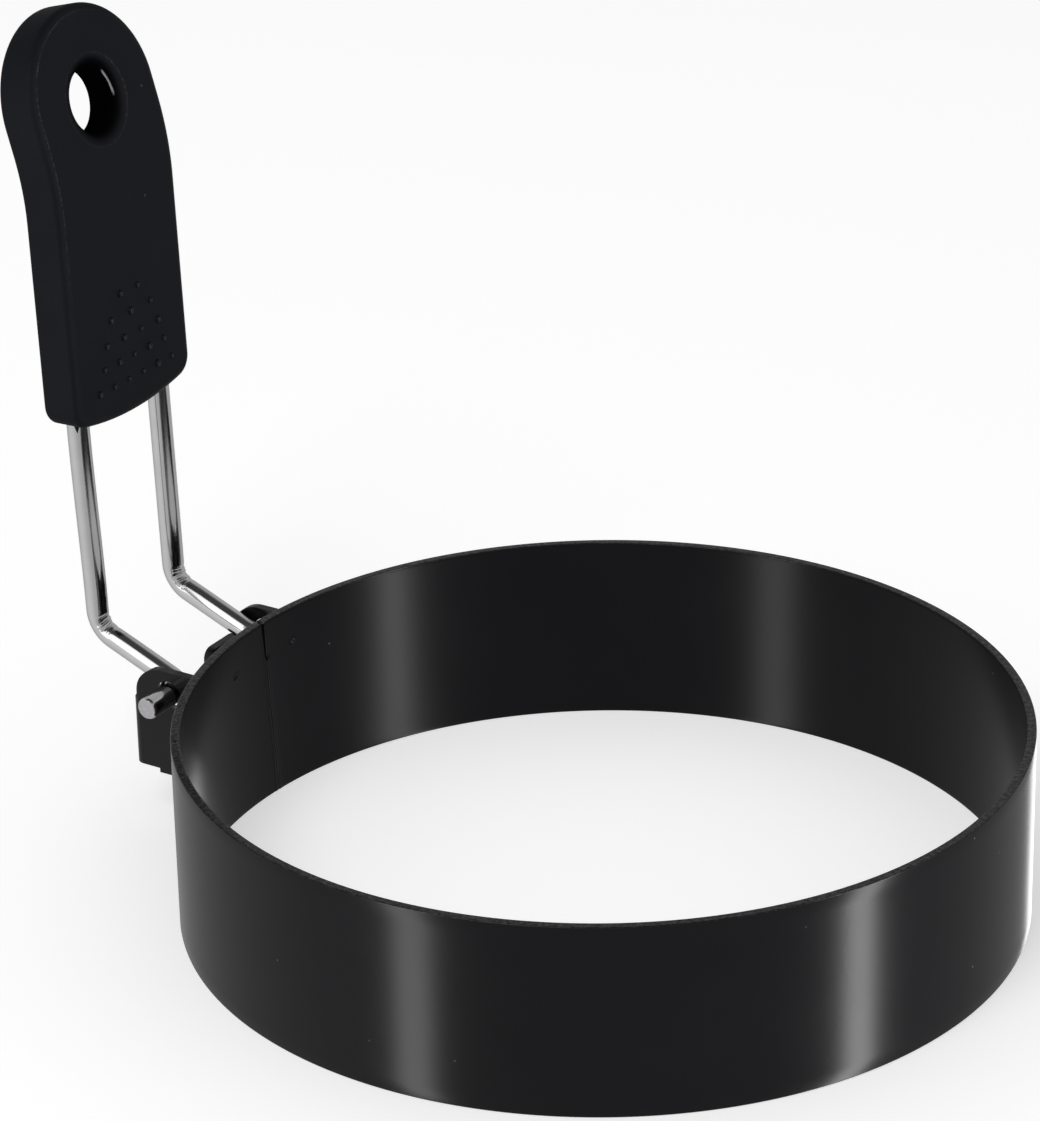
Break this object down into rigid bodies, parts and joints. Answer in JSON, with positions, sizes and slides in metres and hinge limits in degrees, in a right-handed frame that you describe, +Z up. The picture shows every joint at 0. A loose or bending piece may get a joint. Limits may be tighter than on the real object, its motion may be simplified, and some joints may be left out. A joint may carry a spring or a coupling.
{
  "type": "egg ring",
  "caption": "Round egg ring: a plain steel band with a bent-wire handle that folds in on a welded bracket and has a moulded rubber grip with a hanging hole.",
  "frame": {"origin": "middle of the whole part's outline seen from above, on the surface that the ring stands on", "axes": "+Z up, along the ring's own axis; -X towards the handle; the hinge line runs along Y"},
  "size_m": [0.1148, 0.0908, 0.0892],
  "materials": {
    "coated_steel": "black non-stick coating, satin",
    "coated_bracket": "black non-stick coating, slightly glossy",
    "bright_wire": "polished bright",
    "soft_grip": "matte, moulded"
  },
  "bodies": {
    "ring": {"ring_band": "coated_steel", "hinge_bracket": "coated_bracket"},
    "handle": {"handle_wire": "bright_wire", "grip": "soft_grip"}
  },
  "joints": [
    {"name": "handle_fold", "type": "hinge", "parent": "ring", "child": "handle", "pos_m": [-0.03756, 0, 0.016], "axis": [0, 1, 0], "range_deg": [-22, 96]}
  ]
}
